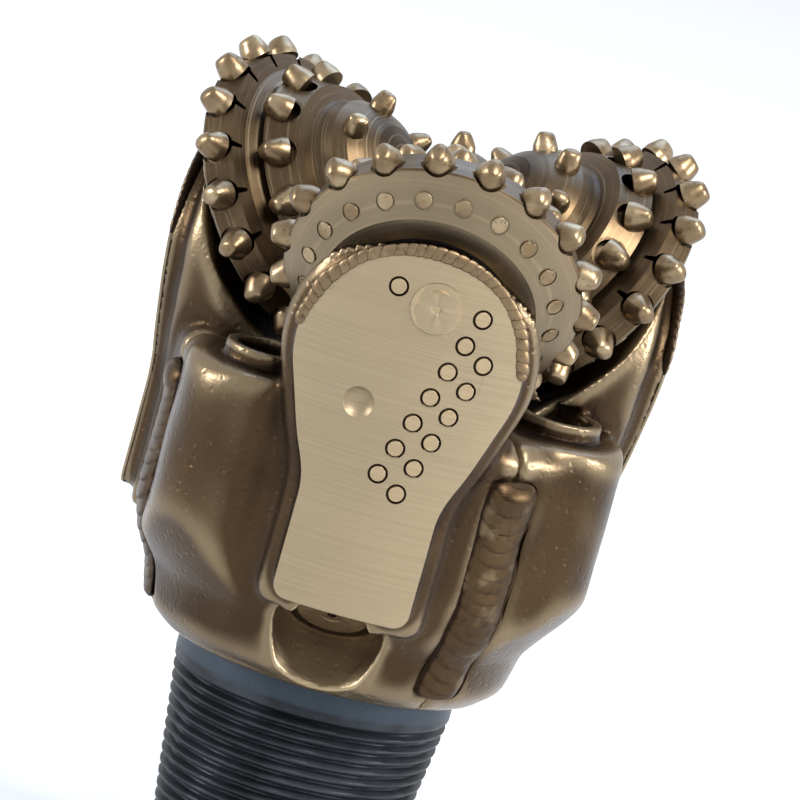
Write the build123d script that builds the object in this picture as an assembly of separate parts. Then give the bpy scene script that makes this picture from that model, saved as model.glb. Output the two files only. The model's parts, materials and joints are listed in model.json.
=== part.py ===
from build123d import *
from math import asin, atan2, cos, degrees, hypot, radians, sin, sqrt
import os

# Tricone roller bit for an 8 1/2 inch hole, standing on its threaded pin's shoulder plane.
# Origin: centre of the shoulder face. +Z runs along the bit axis from the pin to the cones.
# Leg A faces -Y, leg B and leg C follow at 120 and 240 degrees about +Z. Millimetres.

gauge_radius = 107.95  # half of the hole diameter
leg_pitch = 120.0
cut_over = 10.0  # how far a cutting shape runs past the surface it opens
fit_gap = 0.03  # radial gap of pieces held by an interference or a weld
seat_gap = 0.05  # gap of pieces that lie in a seat

# Threaded pin, 4 1/2 inch regular rotary shouldered connection
pin_base_radius = 58.7375
pin_length = 107.95
pin_cylinder_length = 12.0
pin_taper = 0.125  # radius lost per unit of length
thread_pitch = 5.08
thread_depth = 2.99
thread_crest = 1.02
thread_root = 0.9
pin_end_chamfer = 3.0
pin_end_bevel = 2.0
water_bore_radius = 28.5
spigot_radius = 55.0  # root of the pin inside the body
spigot_height = 4.0
relief_gap = 0.5  # radial gap between the pin and the relief bored in the shoulder face

# Leg body below the cones
shoulder_radius = 68.0
base_radius = 76.5
base_height = 7.0
skirt_radius = 80.0
skirt_height = 24.0
core_low_radius = 86.0
core_radius = 90.0
core_start = 42.0
core_tilt_start = 34.0
tilt_rise = 15.0
ledge_height = 121.0
ledge_chamfer = 6.0
crown_height = 106.0
crown_radius = 44.0
crown_rise = 16.0
cavity_radius = 26.0
cavity_height = 62.0

# Nozzle boss on the trailing side of each leg
boss_angle = -48.0
boss_radius = 33.0
boss_offset = 69.0
boss_full_radius = 103.0
boss_tilt_height = 43.0
boss_tilt_radius = 94.0
port_offset = 71.0
port_bore = 14.0
port_depth = 30.0
port_collar_radius = 18.2
port_collar_height = 7.0
web_core_angle = -71.5  # flat pad between the boss and the core
web_boss_angle = -58.0
web_core_radius = 90.4
web_boss_radius = 98.5
web_inner_radius = 78.0
web_top = 115.0
jet_radius = 9.0
jet_start_radius = 16.0
jet_start_height = 46.0
jet_reach = 4.0
nozzle_length = 24.0
nozzle_mouth_radius = 10.5
nozzle_throat_radius = 5.5
nozzle_funnel_length = 12.0
nozzle_ring_height = 3.0
nozzle_ring_width = 4.0
nozzle_ring_notch = (4.0, 2.2)  # width and depth of the key slot

# Machined back plate and shirttail of each leg
plate_gauge_gap = 1.45
plate_rise = 4.0
plate_radius_high = gauge_radius - plate_gauge_gap
plate_radius_low = plate_radius_high - plate_rise
plate_taper_start = 100.0
plate_taper_end = 150.0
plate_shift = 1.8  # of the plate's centre line, in the direction of rotation
plate_bottom = 41.0
plate_low_half = 28.0
plate_waist_height = 84.0
plate_flank = (34.0, 105.0)
plate_top_half = 46.0
plate_top_centre = 147.5
plate_flank_angle = 20.0
plate_corner = 6.0
plate_pad = 7.5  # height of the plate above the arm
arm_rise = 3.0
arm_radius = plate_radius_low - plate_pad
arm_radius_high = arm_radius + arm_rise
arm_margin = 6.0
arm_inner = 30.0

# Journal and cone axis of each leg
journal_angle = 33.0
cone_offset = 3.0  # skew of the cone axis in the direction of rotation
heel_inset = 27.35
heel_radial = gauge_radius - heel_inset  # radial place of the centre of the cone's back face
heel_height = 169.0
back_gap = 1.0

# Room that a turning cone sweeps, as places along its axis and radii about it
room_gap = 4.0
room_back_margin = 6.0
room_full_place = 32.0
room_middle = (62.0, 52.0)
room_end = (96.0, 30.0)

# Journal, ball race and pilot, along the cone axis from the back face
seal_seat_radius = 29.5
seal_seat_length = 6.5
journal_radius = 28.0
journal_length = 33.0
journal_chamfer = 1.0
race_radius = 22.0
race_place = 41.0
race_length = 49.0
ball_radius = 6.0
ball_count = 11
ball_gap = 0.08
pilot_radius = 16.0
pilot_length = 58.0
running_gap = 0.08
race_land_gap = 0.3
end_gap = 0.8
bushing_wall = 3.0
bushing_length = 25.0
bushing_place_gap = 1.5
washer_thickness = 1.6
washer_outer_gap = 0.6
washer_inner_gap = 0.2
seal_section = 2.2
seal_back_gap = 0.3
gland_gap = 0.6

# Cone shell
back_radius = 44.0
heel_edge = 10.4
heel_edge_radius = 60.0
gage_land_start = 11.6
gage_land_start_radius = 60.9
gage_land_end = 23.6
gage_land_end_radius = 57.9
land_width = 12.5
land_slope = -0.6
shell_groove_depth = 7.0
shell_groove_rise = 2.0
groove_side = 1.6
nose_step = 1.0

# Inserts
insert_radius = 6.3
insert_depth = 8.5
inner_insert_depth = 6.0
insert_barrel = 2.2
insert_height = 9.2
gage_insert_height = 8.6
crest_length = 7.4
crest_width = 2.6
crest_edge = 0.55
spot_face = 1.1
spot_depth = 0.5
gage_insert_place = 16.9
gage_insert_tilt = -12.0
gage_insert_count = 18
heel_insert_radius = 3.2
ring_groove_radius = 4.1  # shallow groove round each flush insert
ring_groove_depth = 0.6
heel_insert_depth = 6.0
heel_insert_count = 20
heel_insert_place = 0.42
heel_insert_proud = 0.3
heel_insert_edge = 0.25
nose_insert_radius = 5.2
nose_insert_depth = 6.0
nose_insert_height = 7.7

# Turn of the first insert of each ring about the cone axis
heel_insert_turn = 4.0
inner_row_turn = 11.0
nose_turn = 20.0

# Inner rows of each cone: (place along the axis, land radius, number of inserts)
cone_rows = {
    "a": [(34.3, 45.2, 14), (52.0, 30.8, 9)],
    "b": [(34.5, 45.4, 14)],
    "c": [(37.5, 43.0, 13)],
}
# Nose of each cone: end of its dome, radius where it starts, share of the dome at the inserts, their number
cone_noses = {
    "a": (84.0, 20.0, 0.62, 3),
    "b": (72.0, 32.0, 0.50, 8),
    "c": (70.0, 31.0, 0.60, 6),
}

# Shirttail trim
bead_width = 6.0
bead_arc_radius = 46.5
bead_start_angle = 5.0
bead_sweep = 172.0
bead_crown = 0.85
bead_root_gap = 0.1
button_radius = 3.1
button_depth = 5.0
button_proud = 0.25
button_edge = 0.2
button_pitch = 11.9
button_step = 4.0
column_one = (26.2, 172.4, 7)
column_two = (31.5, 154.3, 6)
single_button = (-9.7, 177.0)
dimple_place = (-12.9, 126.8)
dimple_radius = 6.5
dimple_depth = 3.2

# Ball plug
plug_place = (7.2, 172.3)
plug_radius = 6.8
plug_head_radius = 10.5
plug_head_depth = 3.0
plug_head_proud = 0.3
plug_end_gap = 2.5
plug_race_reach = 2.0
grease_hole_radius = 2.5

# Lubricant reservoir under the plate
reservoir_angle = 38.0  # of the reservoir axis from the bit axis, outward and toward the pin
reservoir_radial = 70.7
reservoir_height = 38.0
reservoir_mouth_radius = 22.5
reservoir_bore_radius = 18.5
reservoir_depth = 30.0
grease_hole_rise = 14.0
grease_hole_end = 84.0
cap_thickness = 3.4
cap_groove_depth = 2.2
cap_boss_radius = 14.5
cap_boss_height = 2.0
cap_bead_radius = 4.5
cap_bead_section = 0.7
cap_vent_radius = 2.0
cap_gap = 0.25
snap_ring_section = 1.8
snap_ring_width = 4.0
snap_ring_opening = 7.0
canister_wall = 1.8
canister_length = 26.0

# Weld seam between neighbouring legs
seam_angle = 40.0
seam_half_angle = 7.5
seam_depth = 3.0
seam_crown = 1.2
seam_top = 106.0

beta = radians(journal_angle)
cone_origin = Vector(cone_offset, -heel_radial, heel_height)
cone_direction = Vector(0, cos(beta), sin(beta))
cone_up = Vector(0, -sin(beta), cos(beta))
cone_plane = Plane(origin=cone_origin, x_dir=Vector(1, 0, 0), z_dir=cone_direction)
legs = {name: k * leg_pitch for k, name in enumerate("abc")}


def turned(shape, name):
    """The shape of leg A turned to the place of the named leg."""
    return Rot(0, 0, legs[name]) * shape


def save(shape, node):
    solids = ShapeList(shape.solids())
    export_step(solids[0] if len(solids) == 1 else Compound(children=list(solids)), f"parts/{node}.step")


def revolved(points, arc=360.0):
    """A closed outline of (radius, height) points turned about +Z."""
    face = make_face(Plane.XZ * Polyline(*points, close=True))
    return revolve(face, Axis.Z, arc)


def on_cone(points):
    """A closed outline of (place, radius) points turned about the cone axis of leg A."""
    return cone_plane * revolved([(r, s) for s, r in points])


def outer_outline(low, full, inset=0.0):
    """The body's outer edge from the shoulder up, for a given full radius."""
    tilt = boss_tilt_height if full > core_radius else core_tilt_start
    return [
        (shoulder_radius - inset, 0),
        (base_radius - inset, base_height),
        (skirt_radius - inset, skirt_height),
        (low - inset, tilt),
        (full - inset, tilt + tilt_rise),
    ]


def crown(points, top):
    """Closes an outer edge over the top of the body and down its axis."""
    radius = points[-1][0]
    return points + [
        (radius, top - ledge_chamfer),
        (radius - ledge_chamfer, top),
        (crown_radius + crown_rise, top),
        (crown_radius, crown_height),
        (0, crown_height),
        (0, 0),
    ]


def polar(radius, angle):
    """Point at a radius and an angle about the bit axis, from the middle of leg A."""
    return (radius * sin(radians(angle)), -radius * cos(radians(angle)))


def boss_web():
    """Flat pad that joins the trailing side of the nozzle boss to the core."""
    face = make_face(Polyline(
        polar(web_core_radius, web_core_angle), polar(web_boss_radius, web_boss_angle),
        polar(web_inner_radius, web_boss_angle), polar(web_inner_radius, web_core_angle), close=True,
    ))
    return extrude(face, amount=web_top)


def body_core():
    core = revolved(crown(outer_outline(core_low_radius, core_radius), ledge_height))
    lobe = revolved(crown(outer_outline(boss_tilt_radius, boss_full_radius), ledge_height))
    turn = Rot(0, 0, boss_angle)
    post = turn * Pos(0, -boss_offset, ledge_height / 2) * Cylinder(boss_radius, ledge_height)
    collar = Pos(0, -port_offset, ledge_height + port_collar_height / 2)
    collar = turn * collar * Cylinder(port_collar_radius, port_collar_height)
    return core + (post & lobe) + (boss_web() & lobe) + collar


def plate_outline(margin):
    """Closed outline of the machined plate, seen from outside, widened by a margin."""
    low = plate_low_half + margin
    top = plate_top_half + margin
    bottom = plate_bottom - margin
    lean = radians(plate_flank_angle)
    shoulder = (top * cos(lean), plate_top_centre - top * sin(lean))
    middle = (plate_flank[0] + margin, plate_flank[1])
    right = Spline((low, plate_waist_height), middle, shoulder, tangents=[(0, 1), (sin(lean), cos(lean))])
    left = mirror(right, Plane.YZ)
    dome = ThreePointArc(shoulder, (0, plate_top_centre + top), (-shoulder[0], shoulder[1]))
    foot = FilletPolyline(
        (-low, plate_waist_height), (-low, bottom), (low, bottom), (low, plate_waist_height),
        radius=plate_corner,
    )
    return Pos(plate_shift, 0) * make_face(Curve() + [left, right, dome, foot])


def plate_block(margin, radii):
    """The plate outline driven inward and cut to a turned outer surface."""
    face = Plane.XZ.offset(arm_inner) * plate_outline(margin)
    block = extrude(face, amount=gauge_radius)
    low, high = radii
    skin = revolved([
        (0, 0), (low, 0), (low, plate_taper_start), (high, plate_taper_end),
        (high, gauge_radius * 2), (0, gauge_radius * 2),
    ])
    return block & skin


def cone_room():
    """The room that one cone sweeps, with its clearance, about the axis of leg A."""
    tip = heel_edge_radius + insert_height + room_gap
    end = room_end[0]
    return on_cone([
        (-back_gap, 0), (-back_gap, heel_edge_radius - room_back_margin), (heel_edge - room_gap, tip),
        (room_full_place, tip), room_middle, room_end, (end, 0),
    ])


def journal():
    race = Pos(0, 0, race_place) * Torus(race_radius + race_land_gap / 2, ball_radius + ball_gap)
    spindle = revolved([
        (0, -heel_edge), (seal_seat_radius, -heel_edge), (seal_seat_radius, seal_seat_length),
        (journal_radius, seal_seat_length + journal_chamfer), (journal_radius, journal_length),
        (race_radius, journal_length), (race_radius, race_length),
        (pilot_radius, race_length), (pilot_radius, pilot_length - journal_chamfer),
        (pilot_radius - journal_chamfer, pilot_length),
        (0, pilot_length),
    ])
    return cone_plane * (spindle - race)


def on_plate(place):
    """Location on the plate's surface at (arc, height), its Z pointing outward."""
    arc, height = place
    share = (height - plate_taper_start) / (plate_taper_end - plate_taper_start)
    share = min(max(share, 0.0), 1.0)
    radius = plate_radius_low + share * (plate_radius_high - plate_radius_low)
    angle = degrees(arc / radius)
    return Rot(0, 0, angle) * Pos(0, -radius, height) * Rot(90, 0, 0)


def plug_line():
    """Start and end of the ball hole, from the plate to the ball race."""
    start = on_plate(plug_place).position
    end = cone_origin + cone_direction * race_place + cone_up * (race_radius - plug_race_reach)
    return start, end


def along(start, end, radius, extra=0.0):
    """A round bar from one point to another, longer by extra at its start."""
    axis = (end - start).normalized()
    length = (end - start).length + extra
    return Plane(origin=start - axis * extra, z_dir=axis) * Pos(0, 0, length / 2) * Cylinder(radius, length)


def reservoir_plane():
    """Plane on the reservoir's seat, its Z pointing out of the body."""
    lean = radians(reservoir_angle)
    return Plane(
        origin=Vector(0, -reservoir_radial, reservoir_height),
        x_dir=Vector(1, 0, 0),
        z_dir=Vector(0, -sin(lean), -cos(lean)),
    )


def reservoir_cut():
    mouth = Pos(0, 0, gauge_radius / 2) * Cylinder(reservoir_mouth_radius, gauge_radius)
    bore = Pos(0, 0, -reservoir_depth / 2) * Cylinder(reservoir_bore_radius, reservoir_depth)
    return reservoir_plane() * (mouth + bore)


def nozzle_cut():
    pocket = Pos(0, -port_offset, ledge_height + (cut_over - port_depth) / 2)
    pocket = pocket * Cylinder(port_bore, port_depth + cut_over)
    start = Vector(0, -jet_start_radius, jet_start_height)
    end = Vector(0, -port_offset, ledge_height - port_depth + jet_reach)
    return Rot(0, 0, boss_angle) * (pocket + along(start, end, jet_radius))


def seam_band(crown_height_out):
    """The band of the weld seam on leg A's joint face, proud of the body by the given height."""
    outer = outer_outline(core_low_radius, core_radius, -crown_height_out)[1:]
    inner = outer_outline(core_low_radius, core_radius, seam_depth)[1:]
    top = [(core_radius + crown_height_out, seam_top), (core_radius - seam_depth, seam_top)]
    band = revolved(outer + top + inner[::-1], 2 * seam_half_angle)
    return Rot(0, 0, -90 + seam_angle - seam_half_angle) * band


def sector():
    """The third of the body that belongs to leg A."""
    reach = 3 * gauge_radius
    corners = [polar(reach, seam_angle - leg_pitch * share) for share in (1, 0.5, 0)]
    return extrude(make_face(Polyline((0, 0), *corners, close=True)), amount=reach)


def leg():
    body = body_core() + plate_block(arm_margin, (arm_radius, arm_radius_high))
    body += plate_block(0.0, (plate_radius_low, plate_radius_high))
    body &= sector()
    for name in legs:
        body -= turned(cone_room(), name)
    body += journal()
    body -= Pos(0, 0, cavity_height / 2) * Cylinder(cavity_radius, cavity_height)
    body -= Pos(0, 0, cavity_height) * Sphere(cavity_radius)
    body -= Pos(0, 0, spigot_height / 2) * Cylinder(pin_base_radius + relief_gap, spigot_height)
    body -= nozzle_cut()
    body -= reservoir_cut()
    start, end = plug_line()
    body -= along(start, end, plug_radius + fit_gap, cut_over)
    body -= on_plate(plug_place) * Cylinder(plug_head_radius + fit_gap, 2 * plug_head_depth)
    body -= along(
        Vector(0, -reservoir_radial, reservoir_height + grease_hole_rise),
        Vector(0, -grease_hole_end, plug_place[1]),
        grease_hole_radius,
    )
    ball_seat = (dimple_radius**2 + dimple_depth**2) / (2 * dimple_depth)
    body -= on_plate(dimple_place) * Pos(0, 0, ball_seat - dimple_depth) * Sphere(ball_seat)
    body -= [place * flush_hole(button_radius, button_depth) for place in button_places()]
    body -= seam_band(cut_over)
    body -= Rot(0, 0, -leg_pitch) * seam_band(cut_over)
    return max(body.solids(), key=lambda s: s.volume)


def button_places():
    spots = [single_button]
    for arc, height, count in (column_one, column_two):
        spots += [(arc - button_step * k, height - button_pitch * k) for k in range(count)]
    return [on_plate(spot) for spot in spots]


def buttons():
    button = Cylinder(button_radius, button_depth + button_proud)
    button = Pos(0, 0, (button_proud - button_depth) / 2) * button
    button = fillet(button.faces().sort_by(Axis.Z)[-1].edges(), button_edge)
    return [place * button for place in button_places()]


def hardfacing():
    """Weld bead round the top of the plate, before it is trimmed to the leg."""
    arc = CenterArc((plate_shift, plate_top_centre), bead_arc_radius, bead_start_angle, bead_sweep)
    band = extrude(Plane.XZ.offset(2 * arm_inner) * make_face(trace(arc, bead_width)), amount=gauge_radius)
    height = 2 * gauge_radius
    outer = plate_radius_high + bead_crown
    skin = revolved([(0, 0), (outer, 0), (outer, height), (0, height)])
    inner = arm_radius_high + bead_root_gap
    inside = revolved([(0, 0), (inner, 0), (inner, height), (0, height)])
    return (band & skin) - inside


def ball_plug():
    start, end = plug_line()
    axis = (end - start).normalized()
    stem = along(start + axis * plug_head_depth, end - axis * (ball_radius + plug_end_gap), plug_radius)
    depth = plug_head_depth - fit_gap
    head = Pos(0, 0, (plug_head_proud - depth) / 2) * Cylinder(plug_head_radius, depth + plug_head_proud)
    return stem + on_plate(plug_place) * head


def reservoir_pieces():
    bore = reservoir_bore_radius - cap_gap
    mouth = reservoir_mouth_radius - cap_gap
    ring_inner = mouth - snap_ring_width
    boss_top = cap_thickness + cap_boss_height
    cap = Pos(0, 0, cap_thickness / 2 + seat_gap) * Cylinder(mouth, cap_thickness)
    groove = Cylinder(ring_inner, 2 * cap_groove_depth) - Cylinder(cap_boss_radius, 2 * cap_groove_depth)
    cap -= Pos(0, 0, cap_thickness + seat_gap) * groove
    cap += Pos(0, 0, boss_top / 2 + seat_gap) * Cylinder(cap_boss_radius, boss_top)
    cap += Pos(0, 0, boss_top + seat_gap) * Torus(cap_bead_radius, cap_bead_section)
    cap -= Cylinder(cap_vent_radius, 4 * boss_top)
    ring = Cylinder(mouth, snap_ring_section) - Cylinder(ring_inner, snap_ring_section)
    ring = Pos(0, 0, cap_thickness + 2 * seat_gap + snap_ring_section / 2) * ring
    ring -= Pos(0, mouth, cap_thickness) * Box(snap_ring_opening, 3 * snap_ring_width, 4 * snap_ring_section)
    canister = Pos(0, 0, -canister_length / 2 - seat_gap) * Cylinder(bore, canister_length)
    room = canister_length - 2 * canister_wall
    canister -= Pos(0, 0, -canister_length / 2) * Cylinder(bore - canister_wall, room)
    canister -= Pos(0, 0, -canister_length) * Cylinder(grease_hole_radius, 4 * canister_wall)
    return [reservoir_plane() * piece for piece in (cap, ring, canister)]


def nozzle_pieces():
    radius = port_bore - seat_gap
    low = ledge_height - port_depth
    body = Pos(0, 0, low + nozzle_length / 2) * Cylinder(radius, nozzle_length)
    funnel = Cone(nozzle_mouth_radius, nozzle_throat_radius, nozzle_funnel_length)
    body -= Pos(0, 0, low + nozzle_funnel_length / 2) * funnel
    body -= Pos(0, 0, low) * Cylinder(nozzle_throat_radius, 3 * nozzle_length)
    ring = Cylinder(radius, nozzle_ring_height) - Cylinder(radius - nozzle_ring_width, nozzle_ring_height)
    ring = Pos(0, 0, low + nozzle_length + seat_gap + nozzle_ring_height / 2) * ring
    width, depth = nozzle_ring_notch
    notch = Pos(0, 0, low + nozzle_length + nozzle_ring_height) * Box(3 * radius, width, 2 * depth)
    place = Rot(0, 0, boss_angle) * Pos(0, -port_offset, 0)
    return place * body, place * (ring - notch)


def bearing_balls():
    ball = Pos(race_radius + race_land_gap / 2, 0, race_place) * Sphere(ball_radius)
    return [cone_plane * Rot(0, 0, 360 * k / ball_count) * ball for k in range(ball_count)]


def thrust_washer():
    low = journal_length + seat_gap
    outer, inner = journal_radius - washer_outer_gap, race_radius + washer_inner_gap
    ring = Cylinder(outer, washer_thickness) - Cylinder(inner, washer_thickness)
    return cone_plane * Pos(0, 0, low + washer_thickness / 2) * ring


def seal_ring():
    radius = seal_seat_radius + seal_section + seat_gap
    return cone_plane * Pos(0, 0, seal_seat_length / 2 + seal_back_gap) * Torus(radius, seal_section)


def bushing():
    inner = journal_radius + running_gap
    start = seal_seat_length + bushing_place_gap
    ring = Cylinder(inner + bushing_wall, bushing_length) - Cylinder(inner, bushing_length)
    return cone_plane * Pos(0, 0, start + bushing_length / 2) * ring


def shell_outline(name):
    """Outer edge of the named cone from its back face to its nose, as (place, radius)."""
    points = [
        (0, back_radius), (heel_edge, heel_edge_radius), (gage_land_start, gage_land_start_radius),
        (gage_land_end, gage_land_end_radius),
    ]
    half = land_width / 2
    for place, radius, _ in cone_rows[name]:
        floor = radius + half * -land_slope - shell_groove_depth + shell_groove_rise
        last_place, last_radius = points[-1]
        points += [(last_place + groove_side, last_radius - shell_groove_depth)]
        points += [(place - half - groove_side, floor)]
        points += [(place - half, radius - half * land_slope), (place + half, radius + half * land_slope)]
    end, start_radius, _, _ = cone_noses[name]
    last = points[-1]
    points += [(last[0] + groove_side, start_radius + nose_step)]
    points += [(last[0] + 2 * groove_side + nose_step, start_radius)]
    return points, end


def dome_points(start, end):
    """Points of a quarter ellipse from the start point to the axis."""
    place, radius = start
    turns = [radians(a) for a in (15, 30, 45, 60, 73, 84)]
    return [(place + (end - place) * sin(a), radius * cos(a)) for a in turns] + [(end, 0)]


def cone_shell(name):
    points, end = shell_outline(name)
    outline = points + dome_points(points[-1], end)
    shell = on_cone(outline + [(0, 0)])
    bore = journal_radius + running_gap + bushing_wall + seat_gap
    gland = seal_seat_radius + 2 * seal_section + 2 * seat_gap
    race = race_radius + race_land_gap
    room = on_cone([
        (-1, 0), (-1, gland), (seal_seat_length + gland_gap, gland), (seal_seat_length + gland_gap, bore),
        (journal_length + washer_thickness + 2 * seat_gap, bore),
        (journal_length + washer_thickness + 2 * seat_gap, race), (race_length + end_gap, race),
        (race_length + end_gap, pilot_radius + running_gap),
        (pilot_length + end_gap, pilot_radius + running_gap), (pilot_length + end_gap, 0),
    ])
    race_groove = Pos(0, 0, race_place) * Torus(race_radius + race_land_gap / 2, ball_radius + ball_gap)
    return shell - room - cone_plane * race_groove


def nose_place(name):
    """Place, radius and tilt of the nose inserts of the named cone, square to its dome."""
    end, radius, share, _ = cone_noses[name]
    start = shell_outline(name)[0][-1][0]
    length = end - start
    rest = sqrt(1 - share**2)
    return start + length * share, radius * rest, degrees(atan2(radius * share, length * rest))


def insert_solid(radius, height, depth):
    """Carbide insert along +Z, its barrel set below Z = 0 and a chisel crest above."""
    barrel = Pos(0, 0, (insert_barrel - depth) / 2) * Cylinder(radius, depth + insert_barrel)
    tip = height - insert_barrel
    crest = crest_length / 2 * radius / insert_radius
    head = Pos(0, 0, insert_barrel + tip / 2) * Cone(radius, crest, tip)
    lean = degrees(asin((radius - crest_width / 2) / hypot(tip, radius)))
    for side in (-1, 1):
        wedge = Pos(0, side * crest_width / 2, height) * Rot(side * lean, 0, 0) * Pos(0, side * radius, 0)
        head -= wedge * Box(4 * radius, 2 * radius, 4 * radius)
    solid = barrel + head
    return fillet(solid.edges().filter_by(lambda e: e.center().Z > height - fit_gap), crest_edge)


def flush_insert():
    solid = Pos(0, 0, (heel_insert_proud - heel_insert_depth) / 2)
    solid = solid * Cylinder(heel_insert_radius, heel_insert_depth + heel_insert_proud)
    return fillet(solid.faces().sort_by(Axis.Z)[-1].edges(), heel_insert_edge)


def ring_places(place, radius, tilt, count, phase=0.0):
    """Locations round a cone, their Z pointing outward and leaning by tilt toward the nose."""
    return [
        cone_plane * Rot(0, 0, phase + 360 * k / count) * Pos(radius, 0, place) * Rot(0, 90 - tilt, 0)
        for k in range(count)
    ]


def cone_places(name):
    """Places of every insert of the named cone, by node."""
    slope = degrees(-land_slope / hypot(1, land_slope))
    share = (gage_insert_place - gage_land_start) / (gage_land_end - gage_land_start)
    gage = gage_land_start_radius + share * (gage_land_end_radius - gage_land_start_radius)
    heel_s = heel_edge * heel_insert_place
    heel_r = back_radius + heel_insert_place * (heel_edge_radius - back_radius)
    places = {
        "gage": ring_places(gage_insert_place, gage, gage_insert_tilt, gage_insert_count),
        "heel": ring_places(heel_s, heel_r, journal_angle - 90, heel_insert_count, heel_insert_turn),
        "inner": [],
    }
    for index, (place, radius, count) in enumerate(cone_rows[name]):
        places["inner"] += ring_places(place, radius, slope, count, inner_row_turn * (index + 1))
    nose_s, nose_r, tilt = nose_place(name)
    places["nose"] = ring_places(nose_s, nose_r, tilt, cone_noses[name][3], nose_turn)
    return places


def flush_hole(radius, depth):
    """Hole of a flush insert with the shallow groove round it."""
    return Cylinder(radius + fit_gap, 2 * depth) + Cylinder(ring_groove_radius, 2 * ring_groove_depth)


def pocket(radius, depth):
    """Hole that holds an insert, with a shallow spot face."""
    hole = Pos(0, 0, (cut_over - depth) / 2) * Cylinder(radius + fit_gap, depth + cut_over)
    face = Cylinder(radius + spot_face, cut_over + spot_depth)
    return hole + Pos(0, 0, (cut_over - spot_depth) / 2) * face


def cone_pieces(name):
    places = cone_places(name)
    gage = insert_solid(insert_radius, gage_insert_height, insert_depth)
    large = insert_solid(insert_radius, insert_height, inner_insert_depth)
    small = insert_solid(nose_insert_radius, nose_insert_height, nose_insert_depth)
    flush = flush_insert()
    shell = cone_shell(name)
    holes = {
        "gage": pocket(insert_radius, insert_depth),
        "inner": pocket(insert_radius, inner_insert_depth),
        "nose": pocket(nose_insert_radius, nose_insert_depth),
        "heel": flush_hole(heel_insert_radius, heel_insert_depth),
    }
    for group_name, hole in holes.items():
        for place in places[group_name]:
            shell -= place * hole
    groups = {
        "gage_inserts": [place * gage for place in places["gage"]],
        "inner_inserts": [place * large for place in places["inner"]],
        "nose_inserts": [place * small for place in places["nose"]],
        "heel_inserts": [place * flush for place in places["heel"]],
    }
    return max(shell.solids(), key=lambda s: s.volume), groups


def crest_radius(depth):
    """Radius of the pin over its thread crests at a depth below the shoulder."""
    return pin_base_radius - pin_taper * (depth - pin_cylinder_length)


def threaded_pin():
    """Tapered pin with a thread of V grooves, turned about the bit axis."""
    outline = [
        (0, spigot_height), (spigot_radius, spigot_height), (spigot_radius, 0), (pin_base_radius, 0),
    ]
    flank = (thread_pitch - thread_crest - thread_root) / 2
    count = int((pin_length - pin_cylinder_length - pin_end_chamfer) / thread_pitch)
    for k in range(count):
        top = pin_cylinder_length + k * thread_pitch
        outline += [
            (crest_radius(top), -top),
            (crest_radius(top + flank) - thread_depth, -top - flank),
            (crest_radius(top + flank + thread_root) - thread_depth, -top - flank - thread_root),
            (crest_radius(top + thread_pitch - thread_crest), -top - thread_pitch + thread_crest),
        ]
    end = crest_radius(pin_length) - thread_depth
    outline += [
        (end, -pin_length + pin_end_chamfer), (end - pin_end_bevel, -pin_length), (0, -pin_length),
    ]
    return revolved(outline) - Cylinder(water_bore_radius, 3 * pin_length)


def weld_seam():
    return seam_band(seam_crown)


def group(shapes):
    return Compound(children=[s for shape in shapes for s in shape.solids()])


def main():
    os.makedirs("parts", exist_ok=True)
    save(threaded_pin(), "threaded_pin")
    one_leg = leg()
    cap, snap, canister = reservoir_pieces()
    nozzle, nozzle_ring = nozzle_pieces()
    leg_nodes = {
        "leg": one_leg,
        "weld_seam": weld_seam(),
        "shirttail_hardfacing": hardfacing() - one_leg - cone_room(),
        "shirttail_buttons": group(buttons()),
        "ball_plug": ball_plug(),
        "reservoir_cap": cap,
        "reservoir_snap_ring": snap,
        "reservoir_canister": canister,
        "nozzle": nozzle,
        "nozzle_ring": nozzle_ring,
        "bearing_balls": group(bearing_balls()),
        "thrust_washer": thrust_washer(),
        "seal_ring": seal_ring(),
    }
    for name in legs:
        for node, shape in leg_nodes.items():
            save(turned(shape, name), f"{node}_{name}")
        shell, groups = cone_pieces(name)
        save(turned(shell, name), f"cone_{name}")
        save(turned(bushing(), name), f"journal_bushing_{name}")
        for node, shapes in groups.items():
            save(turned(group(shapes), name), f"{node}_{name}")


if __name__ == "__main__":
    main()
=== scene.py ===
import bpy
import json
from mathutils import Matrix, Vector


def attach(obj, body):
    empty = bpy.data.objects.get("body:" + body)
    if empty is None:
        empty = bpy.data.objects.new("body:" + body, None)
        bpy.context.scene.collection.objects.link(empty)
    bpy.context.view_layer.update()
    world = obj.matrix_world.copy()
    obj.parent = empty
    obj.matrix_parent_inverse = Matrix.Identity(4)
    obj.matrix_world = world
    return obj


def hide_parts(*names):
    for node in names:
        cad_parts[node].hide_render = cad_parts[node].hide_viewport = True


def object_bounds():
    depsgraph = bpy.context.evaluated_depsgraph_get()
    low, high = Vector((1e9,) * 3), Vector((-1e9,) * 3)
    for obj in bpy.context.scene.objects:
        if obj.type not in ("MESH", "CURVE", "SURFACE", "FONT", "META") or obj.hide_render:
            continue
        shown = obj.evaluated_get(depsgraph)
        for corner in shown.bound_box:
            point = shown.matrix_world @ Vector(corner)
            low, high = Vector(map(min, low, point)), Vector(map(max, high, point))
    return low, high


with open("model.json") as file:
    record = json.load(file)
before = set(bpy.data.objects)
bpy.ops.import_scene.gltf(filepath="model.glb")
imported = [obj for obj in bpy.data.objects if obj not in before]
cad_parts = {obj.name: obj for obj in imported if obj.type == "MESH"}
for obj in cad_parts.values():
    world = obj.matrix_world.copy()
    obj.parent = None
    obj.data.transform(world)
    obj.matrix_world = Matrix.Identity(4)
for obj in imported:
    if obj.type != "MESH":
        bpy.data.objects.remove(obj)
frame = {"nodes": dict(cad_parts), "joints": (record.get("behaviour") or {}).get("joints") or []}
cadBox = [list(corner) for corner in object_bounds()]

import json
import math

import bmesh
import bpy
import numpy as np
from mathutils import Matrix, Vector

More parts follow.
